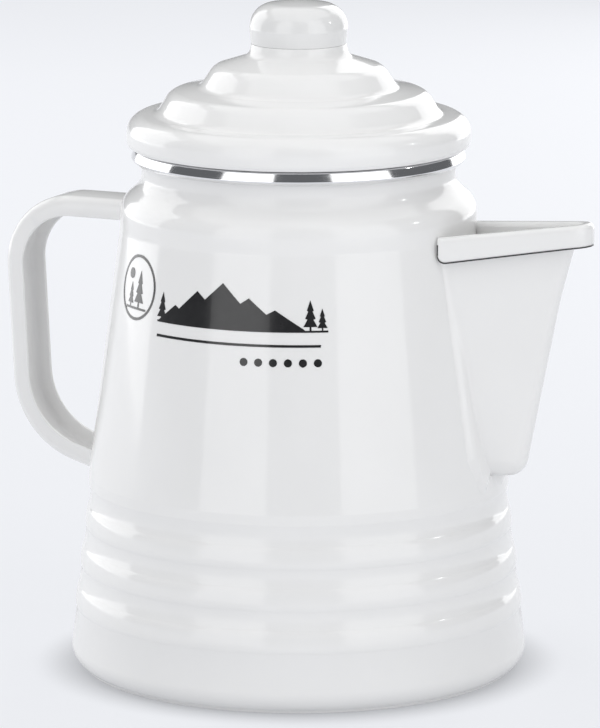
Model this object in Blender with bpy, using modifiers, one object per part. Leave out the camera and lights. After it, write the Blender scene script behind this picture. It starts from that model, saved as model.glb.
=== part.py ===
"""Enamelled camping percolator: pot, spout, handle, lid, knob and the brewing insert.

The pot's axis is Z and it stands on z = 0. The spout points along +X, the handle along -X.
Sizes below are in millimetres; meshes are made in metres.
"""
import math

import bmesh
import bpy
from mathutils import Matrix, Vector

MM = 0.001
GAP = 0.3                 # clearance between pieces that touch
TURNS = 32                # facets round the large turned pieces
SMALL_TURNS = 24          # facets round the small ones
FILLET_STEPS = 2

# Pot
SHEET = 1.2               # enamelled sheet
BOTTOM_R, BOTTOM_THICK = 69.4, 1.5
FOOT_EDGE = (70.45, BOTTOM_THICK + GAP)
FOOT_CORNER, FOOT_FILLET = (73.5, 4.1), 6.4
FOOT_LINE_R = 74.05       # where the wall's straight line would reach the ground
WAIST = (66.8, 56.6)      # the faint groove above the ribs
WAIST_LEDGE = (67.45, 59.6)
TAPER_FOOT = (67.3, 62.6)
TAPER_TOP = (56.9, 142.5)
SHOULDER, SHOULDER_FILLET = (56.75, 151.0), 7.0
NECK, NECK_FILLET = (49.7, 157.2), 5.0
LIP_R, LIP_Z = 52.3, 166.8
LIP_WIDE, LIP_HIGH = 2.7, 1.2
RIB_CENTRES = (49.0, 36.1, 23.0)
RIB_HALF, RIB_PROUD = 3.6, 0.6
RING_R, RING_TOP, RING_HIGH = 53.3, 168.0, 4.2
STRAINER_ROWS, STRAINER_PITCH, STRAINER_LOW = 7, 7.0, 86.0
STRAINER_HOLE_R, STRAINER_BACK, STRAINER_THROUGH = 2.0, 48.0, 28.0

# Lid and knob
LID_R = 54.7
LID_FOOT = RING_TOP + GAP
LID_TOP = 201.2
KNOB_HOLE_R = 11.5
# Lid seen from the side, below its neck: radius, height and fillet of each corner of its three tiers
LID_NECK = ((15.2, LID_TOP, 0.8), (15.6, 197.6, 3.2))
LID_TIERS = (
    (27.0, 194.0, 6.0), (31.4, 187.4, 3.5), (40.9, 185.8, 5.0), (45.2, 178.9, 3.5), (LID_R, 178.2, 5.5),
)
LID_EDGE_WIDE = 4.1
COLLAR_FLANGE_R, COLLAR_R, COLLAR_FOOT, COLLAR_SHEET = 52.8, 47.9, 157.5, 0.7
HEIGHT = 215.0
KNOB_FOOT = LID_TOP + GAP
KNOB_TOP_CORNER = (14.9, HEIGHT - 0.9, 6.5)
KNOB_LOW_CORNER = (15.7, 205.5, 4.0)
KNOB_FOOT_R, KNOB_BORE_R, KNOB_BORE_TOP, KNOB_WALL = 15.0, 9.3, 209.0, 2.6
STUB_FOOT = LID_TOP - 3.4
LUG_HALF, LUG_REACH, LUG_THICK = 4.6, 12.6, 1.5
GASKET_INNER_R, GASKET_R, GASKET_THICK = 11.6, 13.3, 0.7

# Spout: height, half width where it leaves the pot, reach of its front edge
SPOUT_STATIONS = (
    (66.9, 2.6, 72.6), (68.0, 3.6, 74.6), (70.3, 4.9, 77.0), (73.5, 6.4, 78.5),
    (92.9, 10.7, 82.5), (112.2, 12.5, 86.4), (134.1, 14.7, 91.4), (141.0, 15.2, 93.4),
)
SPOUT_NOSE_R = 3.5
SPOUT_ROOT = 4.0          # how far the trough runs on inside the wall before it is trimmed
HEM_TOP_AT_POT, HEM_TOP_AT_TIP = 145.3, 150.2
HEM_THICK, HEM_HIGH, HEM_BITE = 4.2, 7.6, 0.8
REACH = 100.0             # of the spout and of the handle, from the pot's axis
MOUTH_HALF, MOUTH_Z = 15.6, 145.0
# Flange seen from the front: half width and height. Below the nose it ends in two round tongues.
FLANGE_TOP = (17.3, 143.5)
FLANGE_LOW = (15.9, 73.5)
TONGUE_TIP = (9.2, 61.4)
NOTCH = (0.0, 67.2)

# Handle
HANDLE_WIDE, HANDLE_DEEP, HANDLE_SHEET, HANDLE_BEND = 18.0, 6.4, 1.3, 3.0
HANDLE_PATH = ((-50.0, 148.0), (-101.22, 148.2, 23.0), (-96.9, 67.0, 29.5), (-60.0, 55.7))

# Brewing insert
STEM_R, STEM_BORE_R = 4.5, 3.7
STEM_FOOT, STEM_TOP = 13.0, 188.0
TUBE_TURNS = 16           # facets round the stem and what slides on it
BELL_R, BELL_TOP, BELL_SHEET = 28.0, 15.0, 0.7
BELL_HUB_TOP = 24.0
BELL_NOTCHES = 6
STOP_TOP, STOP_HIGH, STOP_WIDE = 97.2, 4.0, 2.6
BASKET_R, BASKET_FLOOR, BASKET_TOP = 42.6, 98.6, 148.6
BASKET_SHEET = 0.6
BASKET_FLARE = 1.0        # how much wider the basket is at its top than at its floor
BASKET_RIM_WIDE, BASKET_RIM_THICK = 2.0, 1.1
SLEEVE_R, SLEEVE_FLANGE_R, SLEEVE_FLANGE_THICK = 5.7, 9.0, 0.8
SPREADER_R, SPREADER_PLATE, SPREADER_SHEET = 46.0, 146.4, 0.6
PIERCED_RINGS = ((15.0, 6), (25.0, 10), (35.0, 14))
PIERCED_HOLE_R = 1.1

PARTS = "coffee_percolator"
CUTTERS = "cutters"


# ---------------------------------------------------------------- scene and materials

def clear_scene():
    for existing in list(bpy.data.objects):
        bpy.data.objects.remove(existing, do_unlink=True)


def collection(name):
    made = bpy.data.collections.new(name)
    bpy.context.scene.collection.children.link(made)
    return made


def material(name, colour, roughness, metallic=0.0):
    made = bpy.data.materials.new(name)
    made.use_nodes = True
    made.diffuse_color = (*colour, 1.0)
    shader = made.node_tree.nodes["Principled BSDF"]
    shader.inputs["Base Color"].default_value = (*colour, 1.0)
    shader.inputs["Roughness"].default_value = roughness
    shader.inputs["Metallic"].default_value = metallic
    return made


def enamel():
    return material("white_enamel", (0.86, 0.86, 0.85), 0.12)


def bright_trim():
    return material("bright_trim", (0.72, 0.73, 0.74), 0.12, 1.0)


def knob_white():
    return material("knob_white", (0.88, 0.88, 0.87), 0.14)


def clear_silicone():
    return material("silicone", (0.70, 0.70, 0.68), 0.55)


def stainless():
    return material("stainless", (0.62, 0.62, 0.61), 0.28, 1.0)


# ---------------------------------------------------------------- shape tools

def rounded(corners, steps=FILLET_STEPS):
    """An outline through corners (a, b) or (a, b, fillet radius), with each fillet as an arc."""
    outline = []
    for i, corner in enumerate(corners):
        point = Vector(corner[:2])
        radius = corner[2] if len(corner) > 2 else 0.0
        if not radius:
            outline.append(tuple(point))
            continue
        before = (Vector(corners[i - 1][:2]) - point).normalized()
        after = (Vector(corners[i + 1][:2]) - point).normalized()
        half_angle = before.angle(after) / 2
        centre = point + (before + after).normalized() * radius / math.sin(half_angle)
        tangent = radius / math.tan(half_angle)
        start = point + before * tangent - centre
        end = point + after * tangent - centre
        sweep = start.angle(end)
        for k in range(steps + 1):
            t = k / steps
            arm = start * math.sin((1 - t) * sweep) + end * math.sin(t * sweep)
            outline.append(tuple(centre + arm / math.sin(sweep)))
    return outline


def add_object(name, mesh, skin, home):
    made = bpy.data.objects.new(name, mesh)
    home.objects.link(made)
    if skin:
        mesh.materials.append(skin)
    else:
        made.hide_render = True
        made.display_type = "WIRE"
    return made


def turned(name, outline, steps, skin, home, ring=False):
    """A turned solid or surface. The outline is (radius, height), and runs down the outer side."""
    mesh = bpy.data.meshes.new(name)
    points = [(r * MM, 0.0, z * MM) for r, z in outline]
    edges = [(i, i + 1) for i in range(len(points) - 1)]
    if ring:
        edges.append((len(points) - 1, 0))
    mesh.from_pydata(points, edges, [])
    made = add_object(name, mesh, skin, home)
    screw = made.modifiers.new("turn", "SCREW")
    screw.axis = "Z"
    screw.steps = screw.render_steps = steps
    screw.use_merge_vertices = True
    screw.merge_threshold = 0.00002
    screw.use_smooth_shade = True
    return made


def ring_section(inner, outer, low, high):
    """A rectangular section, for a plain ring or tube."""
    return [(outer, high), (outer, low), (inner, low), (inner, high)]


def boolean(target, tool, operation):
    step = target.modifiers.new(tool.name, "BOOLEAN")
    step.operation = operation
    step.solver = "EXACT"
    step.object = tool


def mesh_from_bmesh(name, shape):
    bmesh.ops.recalc_face_normals(shape, faces=shape.faces)
    mesh = bpy.data.meshes.new(name)
    shape.to_mesh(mesh)
    shape.free()
    mesh.shade_smooth()
    mesh.set_sharp_from_angle(angle=math.radians(35))
    return mesh


def lofted(name, sections, skin, home):
    """A closed solid through rings of matching points, in millimetres, capped at both ends."""
    shape = bmesh.new()
    rings = [[shape.verts.new(Vector(p) * MM) for p in ring] for ring in sections]
    for low, high in zip(rings, rings[1:]):
        for i, corner in enumerate(low):
            j = (i + 1) % len(low)
            shape.faces.new((corner, low[j], high[j], high[i]))
    shape.faces.new(rings[0])
    shape.faces.new(rings[-1])
    bmesh.ops.triangulate(shape, faces=[f for f in shape.faces if len(f.verts) > 4])
    return add_object(name, mesh_from_bmesh(name, shape), skin, home)


def rods(name, feet, axis, radius, length, home, sides=8):
    """Parallel round cutters that start at feet and run along axis."""
    shape = bmesh.new()
    turn = Vector((0, 0, 1)).rotation_difference(Vector(axis)).to_matrix().to_4x4()
    for foot in feet:
        middle = Vector(foot) + Vector(axis) * length / 2
        bmesh.ops.create_cone(
            shape, cap_ends=True, segments=sides, radius1=radius * MM, radius2=radius * MM,
            depth=length * MM, matrix=Matrix.Translation(middle * MM) @ turn)
    return add_object(name, mesh_from_bmesh(name, shape), None, home)


def blocks(name, boxes, skin, home):
    """Boxes given as (centre, size, turn about Z in degrees)."""
    shape = bmesh.new()
    for centre, size, turn in boxes:
        place = Matrix.Rotation(math.radians(turn), 4, "Z") @ Matrix.Translation(Vector(centre) * MM)
        stretch = Matrix.Diagonal((*(s * MM for s in size), 1.0))
        bmesh.ops.create_cube(shape, size=1.0, matrix=place @ stretch)
    return add_object(name, mesh_from_bmesh(name, shape), skin, home)


def ring_of_points(rings, height):
    points = []
    for radius, count in rings:
        for k in range(count):
            angle = 2 * math.pi * (k + 0.5) / count
            points.append((radius * math.cos(angle), radius * math.sin(angle), height))
    return points


# ---------------------------------------------------------------- pot

def foot_wall_radius(z):
    """The straight wall below the waist, without its ribs."""
    return FOOT_LINE_R + (WAIST[0] - FOOT_LINE_R) * z / WAIST[1]


def rib(centre):
    """A shallow convex band round the wall, from its top edge to its bottom edge."""
    points = []
    for share in (1.0, 0.6, 0.0, -0.6, -1.0):
        z = centre + share * RIB_HALF
        points.append((foot_wall_radius(z) + RIB_PROUD * (1 - share * share), z))
    return points


def pot_outer():
    """From the mouth down to the edge that meets the bottom plate."""
    lip_foot = LIP_Z - LIP_HIGH
    upper = rounded([
        (LIP_R - LIP_WIDE, LIP_Z), (LIP_R, LIP_Z, 0.5), (LIP_R, lip_foot, 0.5),
        (NECK[0] + 0.7, lip_foot - 0.6), (*NECK, NECK_FILLET), (*SHOULDER, SHOULDER_FILLET),
        TAPER_TOP, TAPER_FOOT, WAIST_LEDGE, WAIST])
    ribs = [point for centre in RIB_CENTRES for point in rib(centre)]
    foot = rounded([ribs[-1], (*FOOT_CORNER, FOOT_FILLET), FOOT_EDGE], 5)
    return upper + ribs + foot[1:]


def pot_inner():
    """From the edge that meets the bottom plate up to the mouth."""
    foot_edge = (FOOT_EDGE[0] - 1.6 * SHEET, FOOT_EDGE[1])
    foot_corner = (FOOT_CORNER[0] - SHEET, FOOT_CORNER[1] + SHEET / 2)
    return rounded([
        foot_edge, (*foot_corner, FOOT_FILLET - SHEET), (WAIST[0] - SHEET, WAIST[1]),
        (TAPER_FOOT[0] - SHEET, TAPER_FOOT[1]), (TAPER_TOP[0] - SHEET, TAPER_TOP[1]),
        (SHOULDER[0] - SHEET, SHOULDER[1] - SHEET / 2, SHOULDER_FILLET - SHEET),
        (NECK[0] - SHEET, NECK[1] - SHEET / 4, NECK_FILLET + SHEET), (NECK[0] - SHEET / 2, LIP_Z)])


def wall_surface(grow):
    """The pot's outer wall below the shoulder, moved out by grow, closed at the axis."""
    low = WAIST[1] - 20.0
    wall = [(r + grow, z) for r, z in
            (SHOULDER, TAPER_TOP, TAPER_FOOT, WAIST_LEDGE, WAIST, (foot_wall_radius(low), low))]
    return [(0.0, SHOULDER[1])] + wall + [(0.0, low)]


def make_pot_body(skin, parts, cutters):
    """The pot's wall, open at both ends, with the strainer holes behind the spout."""
    pot = turned("pot_body", pot_inner() + pot_outer(), TURNS, skin, parts, ring=True)
    feet = []
    for row in range(STRAINER_ROWS):
        offsets = (-6.0, 0.0, 6.0) if row % 2 else (-3.0, 3.0)
        feet += [(STRAINER_BACK, y, STRAINER_LOW + row * STRAINER_PITCH) for y in offsets]
    through_wall = rods("strainer_holes", feet, (1, 0, 0), STRAINER_HOLE_R, STRAINER_THROUGH, cutters)
    boolean(pot, through_wall, "DIFFERENCE")
    return pot


def make_pot_bottom(skin, parts):
    """The flat plate that closes the pot and stands on the stove."""
    outline = rounded([(0.0, BOTTOM_THICK), (BOTTOM_R, BOTTOM_THICK, 0.3), (BOTTOM_R, 0.0, 0.5), (0.0, 0.0)])
    return turned("pot_bottom", outline, TURNS, skin, parts)


def make_rim_ring(skin, parts):
    """A sheet ring folded over the lip, from its top inner edge round to under the lip."""
    inside, mouth = LIP_R + GAP, LIP_R - LIP_WIDE + 0.4
    low = RING_TOP - RING_HIGH
    outline = rounded([
        (mouth, RING_TOP), (RING_R - 0.4, RING_TOP, 0.8), (RING_R, low + 1.4), (RING_R - 0.6, low, 0.3),
        (inside - 1.6, low), (inside - 1.6, low + 0.7), (inside, low + 0.9), (inside, LIP_Z + GAP),
        (mouth, LIP_Z + GAP)])
    return turned("rim_ring", outline, TURNS, skin, parts, ring=True)


# ---------------------------------------------------------------- spout

def wall_radius(z):
    """The pot's outer radius on the taper and the shoulder."""
    foot, top = (TAPER_FOOT, TAPER_TOP) if z < TAPER_TOP[1] else (TAPER_TOP, SHOULDER)
    return foot[0] + (top[0] - foot[0]) * (z - foot[1]) / (top[1] - foot[1])


def spout_section(z, half, reach, inset=0.0):
    """Plan of the trough at one height: two straight walls out of the pot, tangent to a round nose."""
    seam = Vector((math.sqrt(wall_radius(z) ** 2 - half ** 2), half))
    nose = min(SPOUT_NOSE_R, half * 0.6)
    centre = Vector((reach - nose, 0.0))
    to_centre = centre - seam
    heading = math.atan2(to_centre.y, to_centre.x) + math.asin(nose / to_centre.length)
    along = Vector((math.cos(heading), math.sin(heading)))
    out = Vector((-along.y, along.x))
    root = seam - along * SPOUT_ROOT / along.x - out * inset
    side = []
    for k in range(4):
        angle = math.atan2(out.y, out.x) * k / 3
        side.append(centre + Vector((math.cos(angle), math.sin(angle))) * (nose - inset))
    side.append(root)
    return [(p.x, -p.y) for p in reversed(side[1:])] + [(p.x, p.y) for p in side]


def mouth_reach():
    """Reach of the trough's own edge, under the hem."""
    return REACH - HEM_THICK + HEM_BITE


def rim_height(x):
    """Top of the spout's hem, rising from the pot to the tip."""
    share = (x - TAPER_TOP[0]) / (REACH - TAPER_TOP[0])
    return HEM_TOP_AT_POT + (HEM_TOP_AT_TIP - HEM_TOP_AT_POT) * share


def spout_body(name, inset, floor_rise, rim_drop, skin, home):
    sections = []
    for z, half, reach in SPOUT_STATIONS:
        plan = spout_section(z, half, reach, inset)
        sections.append([(x, y, z + floor_rise) for x, y in plan])
    plan = spout_section(MOUTH_Z, MOUTH_HALF, mouth_reach(), inset)
    sections.append([(x, y, rim_height(x) - rim_drop) for x, y in plan])
    return lofted(name, sections, skin, home)


def make_hem(home):
    """Rolled edge: an upright rounded strip swept along the top of the trough."""
    plan = [Vector(p) for p in spout_section(MOUTH_Z, MOUTH_HALF, mouth_reach())]
    flat = HEM_HIGH / 2 - HEM_THICK / 2
    sides = 12
    outline = []
    for k in range(sides):
        angle = 2 * math.pi * (k + 0.5) / sides
        lift = flat if math.sin(angle) > 0 else -flat
        outline.append((HEM_THICK / 2 * math.cos(angle), HEM_THICK / 2 * math.sin(angle) + lift))
    sections = []
    for i, point in enumerate(plan):
        along = (plan[min(i + 1, len(plan) - 1)] - plan[max(i - 1, 0)]).normalized()
        out = Vector((along.y, -along.x))
        centre = point + out * (HEM_THICK / 2 - HEM_BITE)
        top = rim_height(centre.x) - HEM_HIGH / 2
        sections.append([(centre.x + a * out.x, centre.y + a * out.y, top + b) for a, b in outline])
    return lofted("spout_hem", sections, None, home)


def make_flange(home):
    """The rim that lies on the pot round the trough: a plate trimmed to a shell round the wall."""
    near_side = rounded([FLANGE_TOP, (*FLANGE_LOW, 10.0), (*TONGUE_TIP, 3.5), NOTCH], 3)
    outline = near_side + [(-y, z) for y, z in reversed(near_side[:-1])]
    plate = lofted("flange_outline", [[(x, y, z) for y, z in outline] for x in (50.0, 80.0)], None, home)
    shell = turned("flange_shell", wall_surface(GAP + SHEET), TURNS, None, home)
    boolean(plate, shell, "INTERSECT")
    return plate


def make_spout(skin, parts, cutters, wall_cutter):
    spout = spout_body("spout", 0.0, 0.0, 1.5, skin, parts)
    boolean(spout, make_flange(cutters), "UNION")
    boolean(spout, make_hem(cutters), "UNION")
    boolean(spout, spout_body("spout_hollow", SHEET, SHEET * 1.2, -8.0, None, cutters), "DIFFERENCE")
    boolean(spout, wall_cutter, "DIFFERENCE")
    return spout


# ---------------------------------------------------------------- handle

def channel_section():
    """U section: across the handle, and depth in from the web's outer face."""
    half, deep, sheet = HANDLE_WIDE / 2, HANDLE_DEEP, HANDLE_SHEET
    bend = HANDLE_BEND
    outer = rounded([(-half, deep), (-half, 0.0, bend), (half, 0.0, bend), (half, deep)])
    inner = rounded([
        (half - sheet, deep), (half - sheet, sheet, bend - sheet), (sheet - half, sheet, bend - sheet),
        (sheet - half, deep)])
    return outer + inner


def make_handle(skin, parts, wall_cutter):
    path = [Vector(p) for p in rounded(HANDLE_PATH, 9)]
    sections = []
    for i, point in enumerate(path):
        along = (path[min(i + 1, len(path) - 1)] - path[max(i - 1, 0)]).normalized()
        inward = Vector((-along.y, along.x))
        sections.append([
            (point.x + d * inward.x, y, point.y + d * inward.y) for y, d in channel_section()])
    handle = lofted("handle", sections, skin, parts)
    boolean(handle, wall_cutter, "DIFFERENCE")
    return handle


# ---------------------------------------------------------------- lid and knob

def make_lid_shell(skin, parts, cutters):
    outline = rounded([
        (KNOB_HOLE_R, LID_TOP), *LID_NECK, *LID_TIERS, (LID_R, LID_FOOT, 2.0),
        (LID_R - LID_EDGE_WIDE, LID_FOOT)])
    lid = turned("lid_shell", outline, TURNS, skin, parts)
    shell = lid.modifiers.new("sheet", "SOLIDIFY")
    shell.thickness = SHEET * MM
    shell.offset = -1.0
    shell.use_even_offset = True
    notch = ((0.0, 0.0, LID_TOP - 0.5), (2 * LUG_HALF + 1.2, 2 * (LUG_REACH + GAP), 2.6), 0.0)
    boolean(lid, blocks("knob_notches", [notch], None, cutters), "DIFFERENCE")
    return lid


def make_lid_collar(skin, parts):
    flange = LID_FOOT + SHEET + GAP
    top, inner = flange + COLLAR_SHEET, COLLAR_R - COLLAR_SHEET
    outline = rounded([
        (COLLAR_FLANGE_R, top), (COLLAR_FLANGE_R, flange), (COLLAR_R, flange, 0.5),
        (COLLAR_R, COLLAR_FOOT), (inner, COLLAR_FOOT), (inner, top)])
    return turned("lid_collar", outline, TURNS, skin, parts, ring=True)


def make_knob(skin, parts, cutters):
    """A hollow knob with a seat for its gasket and a stub that locks under the lid by two lugs."""
    stub_r = KNOB_HOLE_R - 0.4
    seat_r, seat_top = GASKET_R + 0.4, KNOB_FOOT + GASKET_THICK + GAP
    outline = rounded([
        (0.0, HEIGHT), KNOB_TOP_CORNER, KNOB_LOW_CORNER, (KNOB_FOOT_R, KNOB_FOOT), (seat_r, KNOB_FOOT),
        (seat_r, seat_top), (stub_r, seat_top), (stub_r, STUB_FOOT), (KNOB_BORE_R, STUB_FOOT),
        (KNOB_BORE_R, KNOB_BORE_TOP, 3.0), (0.0, HEIGHT - KNOB_WALL)])
    knob = turned("knob", outline, SMALL_TURNS, skin, parts)
    lug_root = KNOB_BORE_R + 0.6
    lug_mid = LID_TOP - SHEET - GAP - LUG_THICK / 2
    lug_long = LUG_REACH - lug_root
    lugs = [((lug_root + lug_long / 2, 0.0, lug_mid), (lug_long, 2 * LUG_HALF, LUG_THICK), turn)
            for turn in (0.0, 180.0)]
    boolean(knob, blocks("knob_lugs", lugs, None, cutters), "UNION")
    return knob


def make_knob_gasket(skin, parts):
    return turned("knob_gasket", ring_section(GASKET_INNER_R, GASKET_R, KNOB_FOOT, KNOB_FOOT + GASKET_THICK),
                  SMALL_TURNS, skin, parts, ring=True)


# ---------------------------------------------------------------- brewing insert

def make_pump_stem(skin, parts):
    return turned("pump_stem", ring_section(STEM_BORE_R, STEM_R, STEM_FOOT, STEM_TOP),
                  TUBE_TURNS, skin, parts, ring=True)


def make_stem_foot(skin, parts, cutters):
    floor = BOTTOM_THICK + GAP
    hub, hub_outer, bell_inner = STEM_R + GAP, STEM_R + GAP + 0.8, BELL_R - BELL_SHEET
    outline = rounded([
        (hub_outer, BELL_HUB_TOP), (hub_outer, BELL_TOP, 2.0), (BELL_R, floor + 3.5, 1.0), (BELL_R, floor),
        (bell_inner, floor), (bell_inner, floor + 3.0), (hub_outer + 1.7, BELL_TOP - 1.8),
        (hub, BELL_TOP - 2.0), (hub, BELL_HUB_TOP)])
    foot = turned("stem_foot", outline, SMALL_TURNS, skin, parts, ring=True)
    notches = [((BELL_R, 0.0, floor), (8.0, 5.0, 3.6), 360.0 * (k + 0.5) / BELL_NOTCHES)
               for k in range(BELL_NOTCHES)]
    boolean(foot, blocks("bell_notches", notches, None, cutters), "DIFFERENCE")
    return foot


def make_stem_stop(skin, parts):
    bore = STEM_R + GAP
    outer, low = bore + STOP_WIDE, STOP_TOP - STOP_HIGH
    outline = rounded([(bore, STOP_TOP), (outer, STOP_TOP, 0.6), (outer, low, 1.5), (bore, low)])
    return turned("stem_stop", outline, TUBE_TURNS, skin, parts, ring=True)


def make_basket_cup(skin, parts, cutters):
    inner, top_r = BASKET_R - BASKET_SHEET, BASKET_R + BASKET_FLARE
    rim_r, rim_foot = top_r + BASKET_RIM_WIDE, BASKET_TOP - BASKET_RIM_THICK
    hole, floor_top = SLEEVE_R + GAP, BASKET_FLOOR + BASKET_SHEET
    outline = rounded([
        (rim_r, BASKET_TOP), (rim_r, rim_foot), (top_r, rim_foot), (BASKET_R, BASKET_FLOOR, 3.0),
        (hole, BASKET_FLOOR), (hole, floor_top), (inner, floor_top, 2.4), (inner + BASKET_FLARE, BASKET_TOP)])
    cup = turned("basket_cup", outline, TURNS, skin, parts, ring=True)
    holes = ring_of_points(PIERCED_RINGS, BASKET_FLOOR - 1.0)
    boolean(cup, rods("basket_holes", holes, (0, 0, 1), PIERCED_HOLE_R, 3.0, cutters, 6), "DIFFERENCE")
    return cup


def make_basket_sleeve(skin, parts):
    top, flange_top = SPREADER_PLATE - 0.4, BASKET_FLOOR - GAP
    low, bore = flange_top - SLEEVE_FLANGE_THICK, STEM_R + 0.4
    outline = [(SLEEVE_R, top), (SLEEVE_R, flange_top), (SLEEVE_FLANGE_R, flange_top), (SLEEVE_FLANGE_R, low),
               (bore, low), (bore, top)]
    return turned("basket_sleeve", outline, TUBE_TURNS, skin, parts, ring=True)


def make_spreader_plate(skin, parts, cutters):
    """A shallow dish whose rim rests on the basket's, with a collar round the stem."""
    sheet, rest = SPREADER_SHEET, BASKET_TOP + GAP
    bore, recess = STEM_R + 0.5, BASKET_R - 0.4
    dish_top, collar_top = SPREADER_PLATE + sheet, rest + 1.6
    outline = rounded([
        (SPREADER_R, rest + sheet), (SPREADER_R, rest), (recess + 0.5, rest, 0.4),
        (recess, SPREADER_PLATE, 1.0), (bore, SPREADER_PLATE), (bore, collar_top), (bore + sheet, collar_top),
        (bore + sheet, dish_top), (recess - sheet, dish_top, 0.4), (recess - 0.1, rest + sheet)])
    plate = turned("spreader_plate", outline, TURNS, skin, parts, ring=True)
    holes = ring_of_points(PIERCED_RINGS, SPREADER_PLATE - 1.0)
    boolean(plate, rods("spreader_holes", holes, (0, 0, 1), PIERCED_HOLE_R, 3.0, cutters, 6), "DIFFERENCE")
    return plate


# ---------------------------------------------------------------- assembly

def pivot(name, height, home):
    made = bpy.data.objects.new(name, None)
    made.empty_display_size = 0.02
    made.location = (0.0, 0.0, height * MM)
    home.objects.link(made)
    return made


def carry(parent, *children):
    bpy.context.view_layer.update()
    for child in children:
        child.parent = parent
        child.matrix_parent_inverse = parent.matrix_world.inverted()


def build():
    clear_scene()
    parts, cutters = collection(PARTS), collection(CUTTERS)
    white, trim, steel = enamel(), bright_trim(), stainless()

    wall_cutter = turned("wall_cutter", wall_surface(GAP), TURNS, None, cutters)
    make_pot_body(white, parts, cutters)
    make_pot_bottom(white, parts)
    make_rim_ring(trim, parts)
    make_spout(white, parts, cutters, wall_cutter)
    make_handle(white, parts, wall_cutter)

    lid_axis = pivot("lid_axis", LID_FOOT, parts)
    knob_axis = pivot("knob_axis", KNOB_FOOT, parts)
    pump_axis = pivot("pump_axis", BOTTOM_THICK, parts)
    basket_axis = pivot("basket_axis", BASKET_FLOOR, parts)
    spreader_axis = pivot("spreader_axis", BASKET_TOP, parts)

    knob = make_knob(knob_white(), parts, cutters)
    carry(knob_axis, knob, make_knob_gasket(clear_silicone(), parts))
    carry(lid_axis, make_lid_shell(white, parts, cutters), make_lid_collar(steel, parts), knob_axis)
    carry(spreader_axis, make_spreader_plate(steel, parts, cutters))
    carry(basket_axis, make_basket_cup(steel, parts, cutters), make_basket_sleeve(steel, parts),
          spreader_axis)
    carry(pump_axis, make_pump_stem(steel, parts), make_stem_foot(steel, parts, cutters),
          make_stem_stop(steel, parts), basket_axis)


build()
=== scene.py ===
"""The looks of the enamelled percolator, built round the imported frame.

The pot's axis is Z, the spout points along +X and the handle along -X.
Shapes are worked out in millimetres and made in metres.
"""
import math

import bmesh
import bpy
import numpy as np
from mathutils import Matrix, Vector


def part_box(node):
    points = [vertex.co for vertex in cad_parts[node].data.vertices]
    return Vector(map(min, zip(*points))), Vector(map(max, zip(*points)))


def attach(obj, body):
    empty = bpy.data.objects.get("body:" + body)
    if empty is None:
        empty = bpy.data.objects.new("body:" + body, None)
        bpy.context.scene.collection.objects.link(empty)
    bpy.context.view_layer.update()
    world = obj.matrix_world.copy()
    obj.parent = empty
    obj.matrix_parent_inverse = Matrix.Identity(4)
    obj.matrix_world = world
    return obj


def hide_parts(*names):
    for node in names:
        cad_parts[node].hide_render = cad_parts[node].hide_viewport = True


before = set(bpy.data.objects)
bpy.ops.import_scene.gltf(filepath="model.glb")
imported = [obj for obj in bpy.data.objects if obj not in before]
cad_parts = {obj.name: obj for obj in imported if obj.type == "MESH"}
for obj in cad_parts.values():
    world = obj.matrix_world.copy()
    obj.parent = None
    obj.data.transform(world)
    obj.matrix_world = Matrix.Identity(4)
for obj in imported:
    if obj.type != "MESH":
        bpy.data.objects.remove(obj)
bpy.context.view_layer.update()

MM = 0.001
TURNS = 192
FINE = 10                  # segments in a fillet


def low(node):
    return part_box(node)[0] / MM


def high(node):
    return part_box(node)[1] / MM


# Sizes read from the frame, in millimetres
BOTTOM_R, BOTTOM_THICK = high("pot_bottom").x, high("pot_bottom").z
LIP_Z = high("pot_body").z
RING_R, RING_TOP = high("rim_ring").x, high("rim_ring").z
LID_R, LID_FOOT, LID_TOP = high("lid_shell").x, low("lid_shell").z, high("lid_shell").z
COLLAR_FLANGE_R, COLLAR_FOOT, COLLAR_TOP = high("lid_collar").x, low("lid_collar").z, high("lid_collar").z
HEIGHT, STUB_FOOT = high("knob").z, low("knob").z
REACH = high("spout").x
HANDLE_HALF = high("handle").y
STEM_R, STEM_FOOT, STEM_TOP = high("pump_stem").x, low("pump_stem").z, high("pump_stem").z
BELL_R, BELL_FLOOR, HUB_TOP = high("stem_foot").x, low("stem_foot").z, high("stem_foot").z
STOP_FOOT, STOP_TOP = low("stem_stop").z, high("stem_stop").z
BASKET_RIM_R, BASKET_FLOOR, BASKET_TOP = high("basket_cup").x, low("basket_cup").z, high("basket_cup").z
SLEEVE_FOOT, SLEEVE_TOP = low("basket_sleeve").z, high("basket_sleeve").z
SLEEVE_FLANGE_R = high("basket_sleeve").x
SPREADER_R, SPREADER_PLATE, SPREADER_TOP = (
    high("spreader_plate").x, low("spreader_plate").z, high("spreader_plate").z)

# Sizes that shape the pot
SHEET = 1.2
GAP = 0.3
FOOT_EDGE_R = 70.45
FOOT_CORNER, FOOT_FILLET = (73.5, 4.1), 6.4
FOOT_LINE_R = 74.05        # where the wall's straight line would reach the ground
WAIST = (66.8, 56.6)
TAPER_FOOT = (67.3, 62.6)
TAPER_TOP = (56.9, 142.5)
SHOULDER = (56.75, 151.0)
NECK = (49.7, 157.2)
LIP_R = RING_R - 1.0
RIB_CENTRES = (49.0, 36.1, 23.0)
RIB_HALF, RIB_PROUD = 3.7, 0.6
STRAINER_ROWS, STRAINER_PITCH, STRAINER_LOW = 7, 7.0, 86.0
STRAINER_HOLE_R, STRAINER_BACK = 2.0, 48.0

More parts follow.
